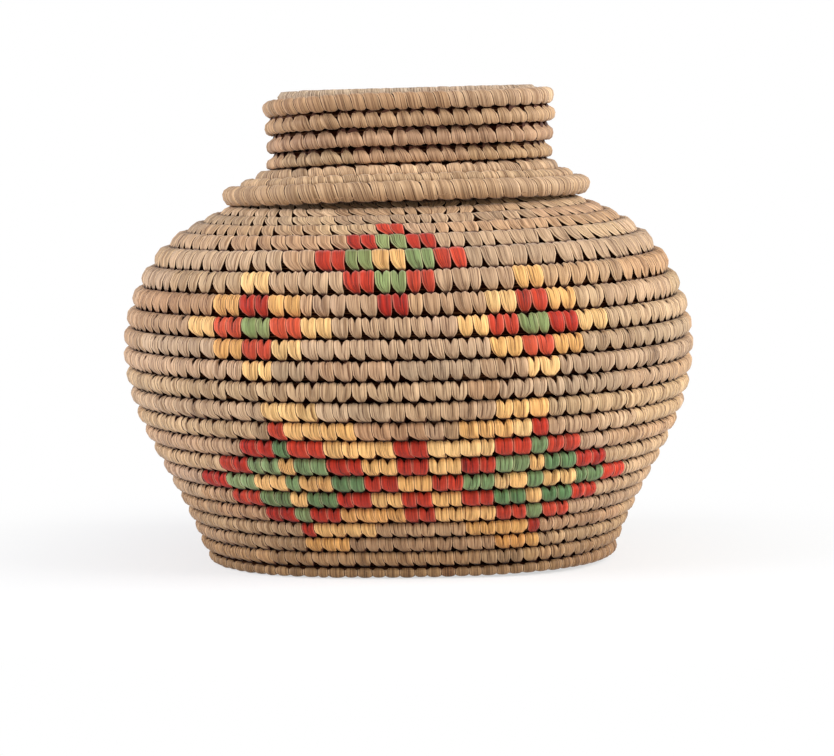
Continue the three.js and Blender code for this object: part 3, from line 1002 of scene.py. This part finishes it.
def tinted(colour, tint, share=1.0):
    """A colour multiplied by a tint, as far as share says."""
    return grass.blend(share, colour, (*tint, 1), "MULTIPLY")


colour = grass.blend(light, tinted(dye, DARK_STREAK), tinted(dye, PALE_STREAK))
colour = tinted(colour, CRACK_TINT, crack * CRACK_SHARE)
# painted highlight along the edges
highlit_edge = grass.blend(HIGHLIGHT_PALE_SHARE, tinted(dye, EDGE_TINT), HIGHLIGHT_PALE)
colour = grass.blend(edge_highlight * EDGE_SHARE, colour, highlit_edge)
# painted shade at the very edge, in the slit and at both ends, where the straps lie in grooves
colour = tinted(colour, EDGE_SHADE_TINT, edge_shade * EDGE_SHADE_SHARE)
colour = tinted(colour, SLIT_SHADE_TINT, slit * (blade * SLIT_MORE + SLIT_LEAST))
colour = tinted(colour, TUCK_SHADE_TINT, tuck_shade * TUCK_SHADE_SHARE)
print(f"with the colours: {len(grass.tree.nodes)} nodes")

# %% Strap finish: surface
RELIEF = 0.3 * MM
LEAST_ROUGH, MORE_ROUGH = 0.48, 0.25  # more on the pale fibres
height = fibres * 0.6 + strands * 0.6 - crack * 0.5
relief = grass.node(
    "ShaderNodeBump", sockets={"Strength": 0.7, "Distance": RELIEF, "Height": height}
)
leaf = grass.node(
    "ShaderNodeBsdfPrincipled",
    sockets={
        "Base Color": colour,
        "Roughness": LEAST_ROUGH + fibres * MORE_ROUGH,
        "Normal": relief,
        "Specular IOR Level": 0.26,
        "Sheen Weight": 0.12,
        "Sheen Roughness": 0.45,
    },
)
grass.node("ShaderNodeOutputMaterial", sockets={"Surface": leaf})
print(f"strap finish: {len(grass.tree.nodes)} nodes")

# %% [markdown]
# ## Finish of the bundles
#
# The bundle is dark brown grass with a few paler stalks along it, painted nearly black as the
# shade in the grooves where it shows. The stalks follow the run of the coil, which each ring of
# the rod carries with it. It has no gloss at all, because light caught there would break up the
# dark lines between the straps.

# %% Bundle finish
STALK_STRETCH = (60, 8, 8)  # along the run in metres, and across the rod
STALK = (0.50, 0.66)  # in the noise, from dark to pale
# the dark end is the grass's own dark colour and painted shade for the grooves
DARK_STALK_AND_SHADE, PALE_STALK = (*linear(32, 10, 4), 1), (*linear(92, 62, 42), 1)
STALK_RELIEF = 0.4 * MM

stalks = Finish(bpy.data.materials.new("grass_bundle"))
stretch = stalks.node(
    "ShaderNodeVectorMath",
    {"operation": "MULTIPLY"},
    {"Vector": stalks.attribute("run", "Vector"), "Vector_001": STALK_STRETCH},
)
straw = stalks.noise(stretch, detail=3.0, roughness=0.6)
brown = stalks.blend(stalks.ramp(straw, *STALK), DARK_STALK_AND_SHADE, PALE_STALK)
ridges = stalks.node(
    "ShaderNodeBump", sockets={"Strength": 0.6, "Distance": STALK_RELIEF, "Height": straw}
)
dull = stalks.node(
    "ShaderNodeBsdfPrincipled",
    sockets={"Base Color": brown, "Roughness": 0.9, "Specular IOR Level": 0.0, "Normal": ridges},
)
stalks.node("ShaderNodeOutputMaterial", sockets={"Surface": dull})
print(f"bundle finish: {len(stalks.tree.nodes)} nodes")

# %% [markdown]
# ## How the straps sit
#
# Straps sit a little differently from row to row, as a maker's hand and the slope of the wall
# change. Every coil keeps these for all its rows, from stations of (row, value):
#
# - proud: millimetres that outer straps stand out from the rows' rounding
# - lap: millimetres that straps reach past it towards the next row
# - slant: strap widths that they lean along the run, for each quarter turn
# - leave and entry: the quarter turn where a strap leaves its bundle, and the one where it
#   enters the bundle before
# - the darkening and the highlight: how much they are painted darker and browner, which at the
#   neck is painted shade, and how much paler and greyer, a painted highlight on the lid's top
#
# Under the foot the outer straps lie pressed flat, because the basket stands on them.

# %% Sitting
BODY_PULL = 0.16  # of a strap's width that its point moves to enter a strap of the turn before
LID_PULL = 0.05


def sit(coil, proud, lap, slant, leave, entry, stain=steady(0), fade=steady(0)):
    """Works out how the straps sit for all of a coil's rows."""
    coil.proud, coil.lap = proud(coil.rows) * MM, lap(coil.rows) * MM
    coil.slant = slant(coil.rows)
    coil.leave, coil.entry = leave(coil.rows), entry(coil.rows)
    coil.stain, coil.fade = stain(coil.rows), fade(coil.rows)


sit(
    body,
    proud=through((1.0, -0.62), (1.06, -0.58), (1.3, 0.40), (19, 0.40), (21, 0.15)),
    lap=through((10, -0.02), (14, 0.34)),
    slant=through((10, 0.04), (17, 0.05), (19, 0.18), (22, 0.24)),
    leave=through((12, -0.60), (16, -0.50), (19, -0.28)),
    entry=through((12, 0.84), (16, 0.78), (19, 0.62)),
    # darker and browner towards the foot
    stain=through((1, 0.37), (4, 0.18), (7, 0.0)),
)
sit(
    lid,
    proud=steady(0.30),
    lap=through((0.6, 0.0), (1, -0.2), (2, -0.4), (4, -0.4), (5, 0.1)),
    slant=through((-0.2, 0.0), (1, 0.45), (2, 0.2), (6, 0.2), (7, 0.45)),
    leave=steady(-0.84),
    entry=steady(1.0),
    # painted shade on the neck
    stain=through((0.6, 0.0), (1, 0.06), (2, 0.14), (4, 0.14), (5, 0.0)),
    # painted highlight, paler and greyer, on the top
    fade=through((0.3, 0.5), (0.8, 0.0)),
)
sit(collar, steady(0.15), steady(0.20), steady(0), leave=steady(-0.7), entry=steady(0.9))

body.places, lid.places, collar.places = body_places, lid_places, collar_places
for coil, pull in ((body, BODY_PULL), (lid, LID_PULL), (collar, LID_PULL)):
    coil.aims = aims(coil, coil.places, pull)
    rope = coil.at(coil.end, coil.run) - coil.at(coil.start, coil.run)
    print(f"{rope:.2f} m of rope and {len(coil.places)} straps")

# %% [markdown]
# ## Rows
#
# Each row is three pieces: its bundle, its straps outside and its straps inside, which show
# when the lid is off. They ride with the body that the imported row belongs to, and the
# bundle stands for that row.

# %% One row
def add_piece(mesh, finish, body_name):
    """An object with a finish, which rides with a body."""
    mesh.materials.append(finish.owner)
    piece = bpy.data.objects.new(mesh.name, mesh)
    bpy.context.collection.objects.link(piece)
    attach(piece, body_name)
    return piece


def add_row(node, coil, first, last, places, kinds, dyes=None):
    """Bundle and straps of one row."""
    body_name = "lid" if node.startswith("lid") else "basket"
    bundle = add_piece(bend_bundle(coil, first, last, f"{node}_bundle"), stalks, body_name)
    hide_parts(node)
    aim = coil.aims[np.searchsorted(coil.places["middle"], places["middle"])]
    outer = lay_straps(f"{node}_straps", coil, places, aim, 1, kinds, dyes)
    inner = lay_straps(f"{node}_inner_straps", coil, places, aim, -1, inner_straps)
    add_piece(outer, grass, body_name)
    add_piece(inner, grass, body_name)


# %% Basket, row by row
WALL_ROWS = 16
SHOULDER_ROWS = 6
FIRST_HEART_ROW = 12
FIRST_TONGUE_ROW = 18

names = [f"wall_row_{i:02d}" for i in range(1, WALL_ROWS + 1)]
names += [f"shoulder_row_{i:02d}" for i in range(1, SHOULDER_ROWS + 1)]
names += ["mouth_row_01", "mouth_row_02"]

flat = body_places[body_places["stretch"] < 0.5]
add_row("floor_coil", body, body.start, 0.5, flat, wide_straps)
for number, node in enumerate(names, start=1):
    here = body_places[np.floor(body_places["stretch"] + 0.5) == number]
    dyes = [dye_of(math.floor(p["stop"]), p["number"]) for p in here]
    kinds = petal_straps if number < FIRST_HEART_ROW else heart_straps
    if number >= FIRST_TONGUE_ROW:
        kinds = tongue_straps
    if number in (1, LAST_ROW):
        kinds = wrap_straps
    last = min(number + 0.5, body.end)
    add_row(node, body, number - 0.5, last, here, kinds, dyes)
print(f"basket laid: floor and {len(names)} rows")

# %% Lid and collar, row by row
names = [f"lid_neck_row_{i:02d}" for i in range(1, NECK_ROWS + 1)]
names += ["lid_brim_row_01", "lid_brim_row_02", "lid_rim_row"]

flat = lid_places[lid_places["stretch"] < 0.5]
add_row("lid_top_coil", lid, lid.start, 0.5, flat, wide_straps)
for number, node in enumerate(names, start=1):
    here = lid_places[lid_places["stretch"] == number - 0.5]
    kinds = wrap_straps if number in (1, RIM_ROW) else neck_straps
    add_row(node, lid, number - 0.5, number + 0.5, here, kinds)
for number in range(1, COLLAR_ROWS + 1):
    here = collar_places[collar_places["stretch"] == number - 0.5]
    node = f"lid_collar_row_{number:02d}"
    kinds = wrap_straps if number == COLLAR_ROWS else neck_straps
    add_row(node, collar, number - 0.5, number + 0.5, here, kinds)
print(f"lid laid: top, {len(names)} rows and {COLLAR_ROWS} rows of collar")
